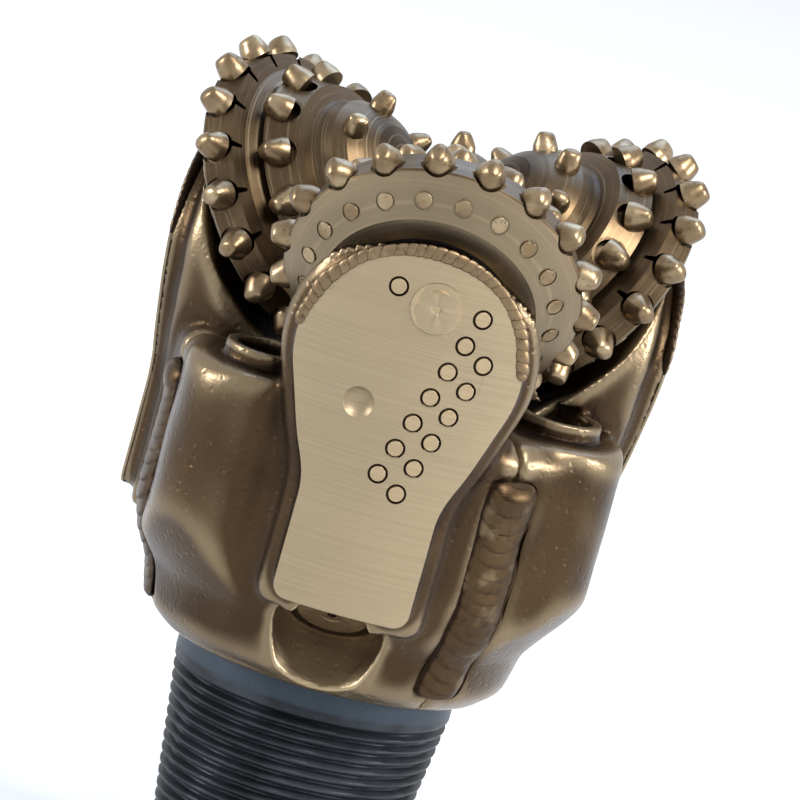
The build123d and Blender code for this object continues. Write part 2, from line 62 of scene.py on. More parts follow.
mm = 0.001
tau = 2 * math.pi
legAngles = {"a": 0.0, "b": 120.0, "c": 240.0}
spins = {joint["child"]: joint for joint in frame["joints"]}


# A socket in a material, so that an expression on values adds its Math nodes
class Wire:
    def __init__(self, shop, socket):
        self.shop = shop
        self.socket = socket

    def math(self, operation, *others):
        return self.shop.add("Math", dict(operation=operation), self, *others)

    def __add__(self, other): return self.math("ADD", other)
    def __radd__(self, other): return self.math("ADD", other)
    def __sub__(self, other): return self.math("SUBTRACT", other)
    def __rsub__(self, other): return self.shop.add("Math", dict(operation="SUBTRACT"), other, self)
    def __mul__(self, other): return self.math("MULTIPLY", other)
    def __rmul__(self, other): return self.math("MULTIPLY", other)
    def __neg__(self): return self.math("MULTIPLY", -1.0)
    def root(self): return self.math("SQRT")
    def least(self, other): return self.math("MINIMUM", other)
    def most(self, other): return self.math("MAXIMUM", other)

    def step(self, low, high):  # 0 below low, 1 above high, smooth between
        settings = dict(interpolation_type="SMOOTHSTEP")
        values = {"Value": self, "From Min": low, "From Max": high, "To Min": 0.0, "To Max": 1.0}
        return self.shop.add("MapRange", settings, **values)


# The nodes of a material or of the world
class Shop:
    def __init__(self, tree):
        self.tree = tree

    # Adds a node by its type: settings first, then the values or links of its sockets
    def add(self, kind, settings, *ordered, output=None, **named):
        node = self.tree.nodes.new("ShaderNode" + kind)
        for key, value in settings.items():
            setattr(node, key, value)
        for index, value in enumerate(ordered):
            self.feed(node.inputs[index], value)
        for key, value in named.items():
            self.feed(self.pick(node.inputs, key), value)
        return Wire(self, node.outputs[output] if output else self.firstOutput(node))

    def pick(self, sockets, key):
        return next(socket for socket in sockets if socket.name == key and socket.enabled)

    def firstOutput(self, node):
        return next(socket for socket in node.outputs if socket.enabled)

    def feed(self, socket, value):
        if isinstance(value, Wire):
            self.tree.links.new(value.socket, socket)
        elif isinstance(value, (tuple, list)) and len(value) == 3 and socket.type == "RGBA":
            socket.default_value = (*value, 1.0)
        else:
            socket.default_value = value

    # 1 on rays from the camera, a mirror or glass, 0 on the rays that light the object
    def seenRays(self):
        kinds = ("Camera", "Glossy", "Transmission")
        camera, glossy, transmission = (self.add("LightPath", {}, output=f"Is {kind} Ray") for kind in kinds)
        return camera.most(glossy).most(transmission)


# One material under construction
class Finish(Shop):
    def __init__(self, name, **constants):
        self.material = bpy.data.materials.new(name)
        self.material.use_nodes = True
        super().__init__(self.material.node_tree)
        self.shader = self.tree.nodes["Principled BSDF"]
        for socket, value in constants.items():
            self.shader.inputs[socket.replace("_", " ")].default_value = value
        self.place = self.add("TexCoord", {}, output="Object")

    def noise(self, place, scale, detail=3.0, roughness=0.55):
        return self.add("TexNoise", {}, Vector=place, Scale=scale, Detail=detail, Roughness=roughness)

    def mix(self, share, first, second):
        return self.add("Mix", dict(data_type="RGBA"), Factor=share, A=first, B=second)

    def split(self, vector):
        return [self.add("SeparateXYZ", {}, vector, output=axis) for axis in "XYZ"]

    # Depth below the broad surface in millimetres, or a mask of painted shade, as stored on the points of a piece
    def hollow(self):
        return self.add("Attribute", dict(attribute_name="hollow"), output="Fac")

    def vectorMath(self, operation, *values):
        output = "Value" if operation in ("LENGTH", "DOT_PRODUCT") else "Vector"
        return self.add("VectorMath", dict(operation=operation), *values, output=output)

    def bump(self, height, strength, distance):
        return self.add("Bump", {}, Height=height, Strength=strength, Distance=distance)

    def connect(self, **sockets):
        for key, value in sockets.items():
            self.feed(self.shader.inputs[key.replace("_", " ")], value)
        return self.material


# Gold-bronze paint: its colours on turned faces, rough forging, worn spots that also carry painted highlight and
# painted light, a dark brown for painted shade and for dark grit and scratches, and inserts
paint = dict(
    turned=(0.350, 0.285, 0.190),
    forged=(0.060, 0.037, 0.018),
    shadeAndDarkMarks=(0.016, 0.009, 0.005),
    bright=(0.42, 0.33, 0.21),
    insert=(0.190, 0.135, 0.078),
    cone=(0.100, 0.068, 0.038),
    metallic=0.80,
    specular=0.20,
    turnedRoughness=0.42,
    forgedRoughness=0.25,
)
# Seat of the reservoir on each leg: its centre, the lean of its axis and the radius of its wall
seat = dict(radial=70.7 * mm, height=38 * mm, lean=38.0, reach=23.8 * mm, slack=0.4 * mm, depth=45 * mm)
# Journal of leg A: where its axis meets the back face, its lean, and how far journal and back face reach
journal = dict(
    place=np.array([3.0, -80.6, 169.0]) * mm, lean=33.0, start=-2.5 * mm, reach=31 * mm,
    backStart=-2.2 * mm, backReach=70 * mm, backLow=120 * mm,
)
# Bore of the nozzle in each leg
port = dict(angle=-48.0, radial=71 * mm, reach=19.5 * mm, low=85 * mm)
# Turned back plate: its radius grows from low to high over the taper, above its bottom edge
legDetail = dict(
    plateLow=102.5 * mm, plateHigh=106.5 * mm, taperStart=100 * mm, taperEnd=150 * mm, plateBottom=36 * mm,
    # deepRadius and deepHeight bound the cone cavity that takes painted shade; seatEdge, seatTop and seatFront
    # bound the reservoir seat wall that is painted lit
    pitSize=2.2 * mm, deepRadius=(62 * mm, 90 * mm), deepHeight=(60 * mm, 100 * mm),
    seatEdge=0.8 * mm, seatTop=(50 * mm, 56 * mm), seatFront=(50 * mm, 60 * mm),
)


# Outward and upward distances, and the radius, on the leg that stands at the given angle
def legPlace(finish, angle):
    x, y, z = finish.split(finish.place)
    turn = math.radians(angle)
    outward = x * math.sin(turn) - y * math.cos(turn)
    return outward, (x * x + y * y).root(), z


# Distance from the axis of the reservoir of the leg at the given angle
def seatDistance(finish, angle):
    spot = turnedPoints(np.array([0, -seat["radial"], seat["height"]]), angle)
    lean = math.radians(seat["lean"])
    axis = turnedPoints(np.array([0, -math.sin(lean), -math.cos(lean)]), angle)
    arm = finish.vectorMath("SUBTRACT", finish.place, tuple(spot))
    return finish.vectorMath("LENGTH", finish.vectorMath("CROSS_PRODUCT", arm, tuple(axis)))


# A painted metal under construction, with a little more metal in it where asked
def painted(name, extra=0.0):
    return Finish(name, Metallic=paint["metallic"] + extra, Specular_IOR_Level=paint["specular"])


# Rough forging: painted shade grows in the cone cavity and in hollows, dark grit is scattered, wear and painted
# highlight grow with height over the broad surface; the reservoir seat wall is painted lit
def legPaint(name):
    d = legDetail
    finish = painted("legPaint" + name.upper())
    outward, radius, z = legPlace(finish, legAngles[name])
    hollow = finish.hollow()
    broad = finish.noise(finish.place, 22.0, 2.0)
    grit = finish.noise(finish.place, 1.0 / d["pitSize"], 5.0, 0.62)
    fine = finish.noise(finish.place, 1600.0, 2.0)
    spots = finish.add("TexVoronoi", dict(feature="F1"), Vector=finish.place, Scale=210.0, output="Distance")
    # painted shade in the cavity between the cones and the legs
    cavityShade = (1.0 - radius.step(*d["deepRadius"])) * z.step(*d["deepHeight"])
    gritAndShade = cavityShade * 0.70 + grit.step(0.42, 0.30) * 0.18 + broad.step(0.60, 0.38) * 0.30
    # painted shade in the hollows under the broad surface
    gritAndShade = (gritAndShade + hollow.step(0.05, 1.2) * 0.9).least(1.0)
    forged = finish.mix(gritAndShade, paint["forged"], paint["shadeAndDarkMarks"])
    # painted highlight on convex edges, with worn spots where grit and cloud meet
    wornAndHighlit = (-hollow).step(0.12, 0.9) * 0.42 + grit.step(0.62, 0.74) * broad.step(0.45, 0.60) * 0.25
    colour = finish.mix(wornAndHighlit.least(1.0), forged, paint["bright"])
    away = seatDistance(finish, legAngles[name])
    # painted light on the bored wall of the reservoir seat, which lies in shade under the plate
    boredLit = 1.0 - away.step(seat["reach"] - d["seatEdge"], seat["reach"])
    boredLit = boredLit * (1.0 - z.step(*d["seatTop"])) * outward.step(*d["seatFront"])
    colour = finish.mix(boredLit * 0.80, colour, paint["bright"])
    height = grit * 0.7 + broad * 1.2 + spots.step(0.35, 0.0) * -0.6 + fine * 0.04
    rough = paint["forgedRoughness"] + grit * 0.10 + gritAndShade * 0.12
    return finish.connect(Base_Color=colour, Roughness=rough, Normal=finish.bump(height, 0.6, 0.5 * mm))


# Turned face of the shirttail, with lathe lines about the bit axis; painted shade darkens its grooves and sides,
# and the rim and pit of the plug
def platePaint(name, base, shine=0.0):
    finish = painted(name)
    hollow = finish.hollow()
    broad = finish.noise(finish.place, 22.0, 2.0)
    fine = finish.noise(finish.place, 900.0, 3.0)
    lathe = finish.noise(finish.vectorMath("MULTIPLY", finish.place, (8.0, 8.0, 1150.0)), 1.0, 2.0)
    scratch = finish.noise(finish.vectorMath("MULTIPLY", finish.place, (300.0, 300.0, 24.0)), 1.0, 3.0)
    turned = finish.mix(lathe.step(0.35, 0.68) * 0.13, base, paint["forged"])
    turned = finish.mix(broad.step(0.35, 0.70) * 0.25, turned, paint["bright"])
    turned = finish.mix(scratch.step(0.67, 0.76) * 0.14, turned, paint["shadeAndDarkMarks"])
    # painted shade from the stored hollow mask: button grooves, plate sides, plug rim and pit
    turned = finish.mix(hollow.step(0.20, 0.55), turned, paint["shadeAndDarkMarks"])
    rough = paint["turnedRoughness"] - shine + fine * 0.10 + lathe * 0.06
    height = lathe * 0.10 + fine * 0.06
    return finish.connect(Base_Color=turned, Roughness=rough, Normal=finish.bump(height, 0.6, 0.5 * mm))


# Cone shell: outline by radius, start and slope, depths that take painted shade, and the turned gage land
coneSkin = dict(
    outline=70 * mm, start=10 * mm, slope=0.62, sunk=(12 * mm, 21 * mm), land=(10.2 * mm, 11.2 * mm), rings=900.0,
)


# Place along and away from the spin axis of a cone
def conePlace(finish, joint):
    centre = tuple(joint["pos_m"])
    axis = tuple(joint["axis"])
    arm = finish.vectorMath("SUBTRACT", finish.place, centre)
    along = finish.vectorMath("DOT_PRODUCT", arm, axis)
    across = finish.vectorMath("CROSS_PRODUCT", arm, axis)
    return along, finish.vectorMath("LENGTH", across)


# Painted shade grows with depth under the cone's outline, with dark grit; turned rings and the gage land stay
# brighter
def conePaint(name):
    c = coneSkin
    finish = painted("conePaint" + name.upper(), 0.1)
    along, radius = conePlace(finish, spins["roller_" + name])
    broad = finish.noise(finish.place, 30.0, 2.0)
    grit = finish.noise(finish.place, 420.0, 4.0, 0.6)
    ringPlace = finish.add("CombineXYZ", {}, along * c["rings"], radius * c["rings"], broad * 2.0)
    rings = finish.noise(ringPlace, 1.0, 2.0)
    profile = c["outline"] - (along - c["start"]) * c["slope"]
    # painted shade where the surface lies deep under the cone's outline
    sunk = (profile - radius).step(*c["sunk"])
    gritAndShade = sunk * 0.55 + grit.step(0.44, 0.30) * 0.18 + broad.step(0.60, 0.40) * 0.30
    colour = finish.mix(gritAndShade.least(1.0), paint["cone"], paint["shadeAndDarkMarks"])
    colour = finish.mix((1.0 - along.step(*c["land"])) * 0.52, colour, paint["turned"])
    colour = finish.mix(rings.step(0.52, 0.72) * 0.25, colour, paint["bright"])
    rough = 0.25 + grit * 0.09 + rings * 0.08 + gritAndShade * 0.10
    height = rings * 0.10 + grit * 0.10 + broad * 0.3
    return finish.connect(Base_Color=colour, Roughness=rough, Normal=finish.bump(height, 0.5, 0.3 * mm))


# Painted carbide, mottled by a broad cloud and dark in its grit
def insertPaint():
    finish = painted("insertPaint", 0.1)
    grit = finish.noise(finish.place, 520.0, 4.0, 0.6)
    broad = finish.noise(finish.place, 60.0, 2.0)
    colour = finish.mix(broad.step(0.42, 0.70) * 0.7, paint["insert"], paint["bright"])
    colour = finish.mix(grit.step(0.44, 0.30) * 0.5, colour, paint["shadeAndDarkMarks"])
    rough = 0.26 + grit * 0.14
    return finish.connect(Base_Color=colour, Roughness=rough, Normal=finish.bump(grit + broad, 0.4, 0.2 * mm))


# Weld metal: dark in its grit, with painted shade between its runs and in its stored hollows, brighter on broad
# patches of the rest
def weldPaint(name, base, coarse):
    finish = painted(name)
    hollow = finish.hollow()
    grit = finish.noise(finish.place, coarse, 5.0, 0.6)
    broad = finish.noise(finish.place, 90.0, 2.0)
    # painted shade from the stored hollow mask, with dark grit
    gritAndShade = (grit.step(0.50, 0.34) * 0.35 + hollow.step(0.15, 0.95)).least(1.0)
    colour = finish.mix(gritAndShade, base, paint["shadeAndDarkMarks"])
    colour = finish.mix(broad.step(0.52, 0.70) * 0.16 * (1.0 - gritAndShade), colour, paint["bright"])
    rough = 0.32 + grit * 0.14
    return finish.connect(Base_Color=colour, Roughness=rough, Normal=finish.bump(grit, 0.5, 0.35 * mm))


# Phosphated pin: its colours in cloud, under the shoulder and on rubbed grit, and where its smooth band ends
pinTones = dict(
    dark=(0.020, 0.024, 0.030), light=(0.042, 0.050, 0.062), band=(0.045, 0.062, 0.084),
    rubbed=(0.14, 0.15, 0.165),
    bandEnd=(-11 * mm, -9 * mm),
)


# Dark steel clouded between two tones, a bluer band under the shoulder, grey where the grit stands up
def phosphateSteel():
    p = pinTones
    finish = Finish("phosphateSteel", Metallic=0.6, Specular_IOR_Level=0.3)
    z = finish.split(finish.place)[2]
    grit = finish.noise(finish.place, 900.0, 4.0, 0.6)
    cloud = finish.noise(finish.place, 40.0, 3.0)
    turned = finish.noise(finish.vectorMath("MULTIPLY", finish.place, (6.0, 6.0, 1800.0)), 1.0, 2.0)
    colour = finish.mix(cloud.step(0.35, 0.68), p["dark"], p["light"])
    colour = finish.mix(z.step(*p["bandEnd"]) * 0.7, colour, p["band"])
    colour = finish.mix(grit.step(0.62, 0.75) * 0.5, colour, p["rubbed"])
    rough = 0.34 + grit * 0.18 + turned * 0.08
    height = turned * 0.15 + grit * 0.25
    return finish.connect(Base_Color=colour, Roughness=rough, Normal=finish.bump(height, 0.5, 0.2 * mm))


# One colour that a cloud and fine grit pull towards a darker one
def plainMetal(name, colour, dark, roughness, metallic, scale=500.0):
    finish = Finish(name, Metallic=metallic)
    grit = finish.noise(finish.place, scale, 4.0, 0.6)
    cloud = finish.noise(finish.place, 70.0, 2.0)
    shade = finish.mix(cloud.step(0.35, 0.70) * 0.6 + grit.step(0.45, 0.30) * 0.4, colour, dark)
    return finish.connect(
        Base_Color=shade, Roughness=roughness + grit * 0.12, Normal=finish.bump(grit, 0.4, 0.15 * mm)
    )


# A mesh from a grid of points whose columns run round: each quad joins a point to its right and lower neighbours
def gridPiece(name, points, closeRows):
    rows, columns = points.shape[:2]
    index = np.arange(rows * columns).reshape(rows, columns)
    down = np.roll(index, -1, 0) if closeRows else index[1:]
    here = index if closeRows else index[:-1]
    quads = np.stack([here, np.roll(here, -1, 1), np.roll(down, -1, 1), down], -1)
    return meshPiece(name, points.reshape(-1, 3), quads.reshape(-1, 4).tolist())


# A piece from points and faces, smooth but for edges past an angle
def meshPiece(name, points, faces, smoothAngle=40.0):
    mesh = bpy.data.meshes.new(name)
    mesh.from_pydata(points.tolist(), [], faces)
    mesh.update()
    mesh.polygons.foreach_set("use_smooth", np.ones(len(mesh.polygons), bool))
    mesh.set_sharp_from_angle(angle=math.radians(smoothAngle))
    piece = bpy.data.objects.new(name, mesh)
    bpy.context.scene.collection.objects.link(piece)
    return piece


# Depth below the broad surface in millimetres, or a mask of painted shade, for the paint to read
def storeHollow(piece, values):
    layer = piece.data.attributes.new("hollow", "FLOAT", "POINT")
    layer.data.foreach_set("value", np.asarray(values, np.float32).ravel())


# Places of a mesh's points, one to a row
def meshPoints(mesh):
    points = np.empty(len(mesh.vertices) * 3, np.float64)
    mesh.vertices.foreach_get("co", points)
    return points.reshape(-1, 3)


# Points turned about the bit's axis by an angle in degrees
def turnedPoints(points, angle):
    turn = np.radians(angle)
    c, s = math.cos(turn), math.sin(turn)
    return points @ np.array([[c, -s, 0], [s, c, 0], [0, 0, 1]]).T


# Gives a piece one material in place of any it has
def dress(piece, material):
    piece.data.materials.clear()
    piece.data.materials.append(material)


# Threaded pin: its sizes, its counts of points, and the length over which the thread deepens
pinSizes = dict(
    radius=58.7375 * mm, length=107.95 * mm, band=12 * mm, taper=0.125, pitch=5.08 * mm,
    depth=2.99 * mm, crest=1.02 * mm, root=0.9 * mm, bore=28.5 * mm, chamfer=3 * mm,
    around=240, rowsPerPitch=12, runIn=4.0 * mm, bandGap=0.1 * mm, tailGap=0.05 * mm, endStep=2 * mm,
)


# Radius loses the taper below the smooth band; the groove's depth follows the turn of a right-handed helix
def threadedPin():
    p = pinSizes
    turns = np.linspace(0, tau, p["around"], endpoint=False)
    threaded = p["length"] - p["band"] - p["chamfer"]
    rowCount = int(threaded / p["pitch"] * p["rowsPerPitch"])
    depths = p["band"] + np.linspace(0, threaded, rowCount)
    crest = p["radius"] - p["taper"] * (depths - p["band"])
    phase = ((depths[:, None] - p["band"]) / p["pitch"] + turns[None, :] / tau) % 1.0
    fromRoot = np.abs(phase - 0.5)
    halfRoot, halfCrest = p["root"] / p["pitch"] / 2, p["crest"] / p["pitch"] / 2
    cut = np.clip((0.5 - halfCrest - fromRoot) / (0.5 - halfCrest - halfRoot), 0, 1)
    cut *= np.clip((depths[:, None] - p["band"]) / p["runIn"], 0, 1)
    thread = crest[:, None] - cut * p["depth"]
    end = crest[-1] - p["depth"]
    rings = [(p["bore"], 0.0), (p["radius"], 0.0), (p["radius"], p["band"] * 0.5)]
    rings.append((p["radius"], p["band"] - p["bandGap"]))
    tail = [(end, p["length"] - p["chamfer"] + p["tailGap"]), (end - p["endStep"], p["length"])]
    tail.append((p["bore"], p["length"]))
    inner = [(p["bore"], p["length"] * share) for share in (0.75, 0.5, 0.25)]
    radii = np.concatenate([
        np.repeat([[r] for r, _ in rings], p["around"], 1), thread,
        np.repeat([[r] for r, _ in tail + inner], p["around"], 1),
    ])
    heights = -np.concatenate([[d for _, d in rings], depths, [d for _, d in tail + inner]])
    points = np.stack([
        radii * np.cos(turns), radii * np.sin(turns), np.repeat(heights[:, None], p["around"], 1)
    ], -1)
    piece = gridPiece("pinThread", points[::-1], True)
    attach(piece, "bit_body")
    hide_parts("threaded_pin")
    return piece


# Rope of hardfacing: the arc it follows on the plate, its section, its lumps and a seed for each leg
beadSizes = dict(
    centreAcross=1.8 * mm, centreHeight=147.5 * mm, arcRadius=46.6 * mm, halfWidth=3.0 * mm,
    surface=105.9 * mm, crown=1.75 * mm, sink=3.5 * mm, start=4.0, end=178.0, lump=4.4 * mm, steps=520, around=22,
    largest=107.8 * mm, seeds=dict(a=0.0, b=1.7, c=3.9),
)


# A section carried along an arc: width and crown swell in lumps, and each lump leans over the next
def shirttailBead(name):
    b = beadSizes
    share = np.linspace(0, 1, b["steps"])
    arc = np.radians(b["start"] + (b["end"] - b["start"]) * share)
    length = arc * b["arcRadius"]
    seed = b["seeds"][name]
    turns = length / b["lump"] + 0.35 * np.sin(length / 0.011 + seed) + 0.2 * np.sin(length / 0.0043 + 2 * seed)
    ends = smooth01(np.abs(share - 0.42), 0.12, 0.5)
    swell = 0.92 + 0.10 * np.sin(length / 0.0087 + seed) + 0.10 * ends * np.sin(length / 0.0037 + 2 * seed)
    close = np.sqrt(np.clip(1 - (np.abs(share - 0.5) * 2) ** 30, 0, 1))
    around = np.linspace(0, tau, b["around"], endpoint=False)
    outward = np.sin(around)[None, :]
    lump = np.abs(np.sin((turns[:, None] + 0.22 * np.cos(around)[None, :]) * tau / 2)) ** 0.6
    up = b["crown"] * swell[:, None] * (0.78 + (0.12 + 0.16 * ends)[:, None] * lump) * np.abs(outward) ** 0.75
    lift = np.where(outward > 0, up, outward * b["sink"]) * close[:, None]
    drift = 0.45 * mm * np.sin(length / 0.019 + seed) + 0.35 * mm * ends * np.sin(length / 0.0031 + seed)
    wide = b["halfWidth"] * (swell * close)[:, None] * (0.90 + 0.12 * lump) * np.cos(around)[None, :]
    radial = b["arcRadius"] + drift[:, None] + wide
    across = b["centreAcross"] + radial * np.cos(arc)[:, None]
    height = b["centreHeight"] + radial * np.sin(arc)[:, None]
    surface = np.minimum(b["surface"] + lift, b["largest"])
    turn = across / b["surface"]
    points = np.stack([surface * np.sin(turn), -surface * np.cos(turn), height], -1)
    piece = gridPiece("hardfacingBead_" + name, turnedPoints(points, legAngles[name]), False)
    # painted shade mask: between the lumps and on the underside of the rope
    storeHollow(piece, (1 - lump) ** 2 * 0.75 + (1 - np.maximum(outward, 0)) ** 2.2 * 0.9)
    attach(piece, "bit_body")
    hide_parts("shirttail_hardfacing_" + name)
    return piece


# Weld seam: radius and height down the joint in millimetres, its section, its ripples and a seed for each leg
seamSizes = dict(
    profile=[(76.5, 6.5), (80, 24), (86, 34), (90, 49), (90, 70), (90, 107)], turn=40.0, turnRadius=0.09,
    halfWidth=13.6 * mm, crown=1.5 * mm, edge=1.1 * mm, sink=2.8 * mm, ripple=0.8 * mm, spacing=6.2 * mm,
    blob=2.4 * mm, blobPlace=7 * mm, blobReach=6 * mm, wander=0.8 * mm, steps=330, around=40, soften=25,
    seeds=dict(a=0.4, b=2.1, c=4.4),
)


# A flat bar carried down the joint of two legs, its face stepped by the crescents of the weld runs
def weldSeam(name):
    s = seamSizes
    profile = np.array(s["profile"]) * mm
    run = np.concatenate([[0], np.cumsum(np.hypot(*np.diff(profile, axis=0).T))])
    along = np.linspace(0, run[-1], s["steps"])
    soft = np.ones(s["soften"]) / s["soften"]
    radius, height = (
        np.convolve(np.pad(np.interp(along, run, side), s["soften"] // 2, "edge"), soft, "valid")
        for side in profile.T
    )
    around = np.linspace(0, tau, s["around"], endpoint=False)
    across, outward = np.cos(around)[None, :], np.sin(around)[None, :]
    across = np.sign(across) * np.abs(across) ** 0.8
    seed = s["seeds"][name]
    wander = s["wander"] * np.sin(along / 0.017 + seed)[:, None]
    bow = 1.1 * (1 - across**2)
    phase = (along[:, None] / s["spacing"] + bow + 0.3 * np.sin(along / 0.009 + seed)[:, None]) % 1.0
    swell = 0.8 + 0.35 * np.sin(along / 0.013 + seed)[:, None]
    scale = s["ripple"] * (1 - phase) ** 0.8 * (1 - across**4) * swell
    close = np.sqrt(np.clip(1 - (np.abs(along / run[-1] - 0.5) * 2) ** 20, 0, 1))[:, None]
    fromBlob = (along - run[-1] + s["blobPlace"]) / s["blobReach"]
    blob = s["blob"] * np.exp(-fromBlob**2)[:, None] * (1 - across**2)
    face = s["crown"] * (1 - np.abs(across) ** 2.5) - s["edge"] * np.abs(across) ** 4 + scale + blob
    lift = np.where(outward > 0, face, -np.abs(outward) ** 0.5 * s["sink"]) * close
    wide = s["halfWidth"] * across * close * (1 + 0.05 * np.sin(along / 0.0045 + seed)[:, None]) + wander
    surface = radius[:, None] + lift
    turn = math.radians(s["turn"]) + wide / s["turnRadius"]
    tall = np.repeat(height[:, None], s["around"], 1)
    points = np.stack([surface * np.sin(turn), -surface * np.cos(turn), tall], -1)
    piece = gridPiece("legWeld_" + name, turnedPoints(points[::-1], legAngles[name]), False)
    # painted shade mask: at the seam's edges and at the low foot of each ripple
    edge = smooth01(np.abs(across), 0.78, 0.92) + 0.55 * smooth01(phase, 0.80, 0.98)
    storeHollow(piece, edge[::-1])
    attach(piece, "bit_body")
    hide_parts("weld_seam_" + name)
    return piece


# Forged skin: size of its cells, rounds of relaxing, waves, how far the plate sinks, and the plate's half width
forging = dict(
    merge=0.002 * mm, voxel=1.15 * mm, rounds=22, wave=0.28 * mm, plateSink=1.5 * mm, broadRounds=45,
    halfTop=49 * mm, shift=1.8 * mm, slack=1.3 * mm, foot=2 * mm, core=30 * mm,
)


# The leg's own solid, remeshed evenly, then relaxed where it is forged and left where it is turned or bored
def forgedLeg(name):
    source = frame["nodes"]["leg_" + name]
    piece = bpy.data.objects.new("forgedLeg_" + name, source.data.copy())
    bpy.context.scene.collection.objects.link(piece)
    weld = piece.modifiers.new("weld", "WELD")
    weld.merge_threshold = forging["merge"]
    remesh = piece.modifiers.new("remesh", "REMESH")
    remesh.mode = "VOXEL"
    remesh.voxel_size = forging["voxel"]
    fresh = bpy.data.meshes.new_from_object(piece.evaluated_get(bpy.context.evaluated_depsgraph_get()))
    piece.modifiers.clear()
    piece.data = fresh
    storeHollow(piece, relaxForging(fresh, name))
    fresh.polygons.foreach_set("use_smooth", np.ones(len(fresh.polygons), bool))
    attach(piece, "bit_body")
    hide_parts("leg_" + name)
    return piece


# 0 below low, 1 above high, and a smooth step between
def smooth01(value, low, high):
    share = np.clip((value - low) / (high - low), 0, 1)
    return share * share * (3 - 2 * share)


# Across, outward and upward distances of points on the leg that stands at the given angle
def legShares(points, name):
    turn = math.radians(legAngles[name])
    across = points[:, 0] * math.cos(turn) + points[:, 1] * math.sin(turn)
    outward = points[:, 0] * math.sin(turn) - points[:, 1] * math.cos(turn)
    return across, outward, points[:, 2]


# Radius of the turned back plate at a height
def plateRadius(height):
    d = legDetail
    share = np.clip((height - d["taperStart"]) / (d["taperEnd"] - d["taperStart"]), 0, 1)
    return d["plateLow"] + share * (d["plateHigh"] - d["plateLow"])


# True for the points within a slack under the plate's radius and inside its edges
def onPlate(points, name, slack):
    across, outward, height = legShares(points, name)
    near = np.hypot(across, outward) > plateRadius(height) - slack
    near &= np.abs(across - forging["shift"]) < forging["halfTop"]
    return near & (height > legDetail["plateBottom"]) & (outward > 0)


# How freely each point may relax: 1 on forged skin, 0 on the plate, journal, bores and shoulder
def forgedShare(points, name):
    across, outward, height = legShares(points, name)
    radius = np.hypot(across, outward)
    joint = spins["roller_" + name]
    arm = points - np.array(joint["pos_m"])
    axis = np.array(joint["axis"])
    along = arm @ axis
    away = np.linalg.norm(arm - along[:, None] * axis, axis=1)
    bearing = (along > journal["start"]) & (away < journal["reach"])
    back = (along > journal["backStart"]) & (away < journal["backReach"]) & (height > journal["backLow"])
    lean = math.radians(seat["lean"])
    fromSeat = np.stack([across, -outward, height], -1) - np.array([0, -seat["radial"], seat["height"]])
    out = np.array([0, -math.sin(lean), -math.cos(lean)])
    depth = fromSeat @ out
    reservoir = np.linalg.norm(fromSeat - depth[:, None] * out, axis=1) < seat["reach"] + seat["slack"]
    reservoir &= depth < seat["depth"]
    turn = math.radians(port["angle"])
    middle = port["radial"] * np.array([math.sin(turn), math.cos(turn)])
    bore = (np.hypot(across - middle[0], outward - middle[1]) < port["reach"]) & (height > port["low"])
    ends = (height < forging["foot"]) | (radius < forging["core"])
    fixed = bearing | back | reservoir | bore | ends | onPlate(points, name, forging["slack"])
    return 1.0 - fixed.astype(float)


# Each point moves towards the mean of its neighbours, then slow waves are added and the plate sinks; the
# depth of each point under a much smoother copy is returned for the paint
def relaxForging(mesh, name):
    count = len(mesh.vertices)
    points = meshPoints(mesh)
    edges = np.empty(len(mesh.edges) * 2, np.int64)
    mesh.edges.foreach_get("vertices", edges)
    a, b = edges.reshape(-1, 2).T
    degree = np.bincount(a, minlength=count) + np.bincount(b, minlength=count)

    def average(values):
        return (np.bincount(a, values[b], count) + np.bincount(b, values[a], count)) / degree

    def averages(places):
        return np.stack([average(places[:, k]) for k in range(3)], -1)

    free = forgedShare(points, name)
    bowl = np.linalg.norm(points - platePoint(plateSkin["dimple"], name), axis=1) < plateSkin["dimpleClear"]
    sunk = (onPlate(points, name, forging["slack"]) | bowl).astype(float)
    free[bowl] = 0
    for _ in range(3):
        free = np.minimum(free, average(free) + 0.25)
    gentle = np.maximum(free, 0.12)
    for turn in range(forging["rounds"]):
        points += (averages(points) - points) * ((gentle if turn < 2 else free) * 0.85)[:, None]
    outward = points[:, :2] / np.maximum(np.hypot(points[:, 0], points[:, 1]), 1e-6)[:, None]
    wave = np.sin(points[:, 0] / 0.0071 + 2 * np.sin(points[:, 2] / 0.013)) * np.sin(points[:, 1] / 0.0083)
    wave += 0.6 * np.sin(points[:, 2] / 0.0059 + points[:, 0] / 0.017)
    points[:, :2] += outward * (wave * forging["wave"] * free - sunk * forging["plateSink"])[:, None]
    mesh.vertices.foreach_set("co", points.ravel())
    mesh.update()
    normals = np.empty(count * 3, np.float32)
    mesh.vertices.foreach_get("normal", normals)
    broad = points.copy()
    for _ in range(forging["broadRounds"]):
        broad += (averages(broad) - broad) * 0.9
    hollow = ((broad - points) * normals.reshape(-1, 3)).sum(1) / mm
    for _ in range(4):
        hollow = average(hollow)
    return hollow


# Buttons in slanting columns, as (arc, height) on the plate: first place and count of each, then one alone
buttons = dict(columns=[(26.2, 172.4, 7), (31.5, 154.3, 6)], step=4.0, pitch=11.9, alone=(-9.7, 177.0))
# Skin of the plate: its dimple and plug as (arc, height), its grooves and the slab under it
plateSkin = dict(
    dimple=(-12.9, 126.8), dimpleReach=7.6 * mm, dimpleDepth=3.6 * mm, dimpleClear=9.5 * mm,
    grooveReach=4.2 * mm, grooveDepth=0.65 * mm, pitDepth=0.3 * mm, facing=0.7, sharp=25.0,
    plug=(7.2, 172.3), plugRadius=10.45 * mm, plugProud=0.3 * mm, plugWall=1.0 * mm,
    plugRim=10.2 * mm, plugPit=1.5 * mm, plugSeeds=dict(a=0.3, b=1.9, c=4.0),
    thickness=2.6 * mm, slack=0.06 * mm, merge=0.002 * mm,
)


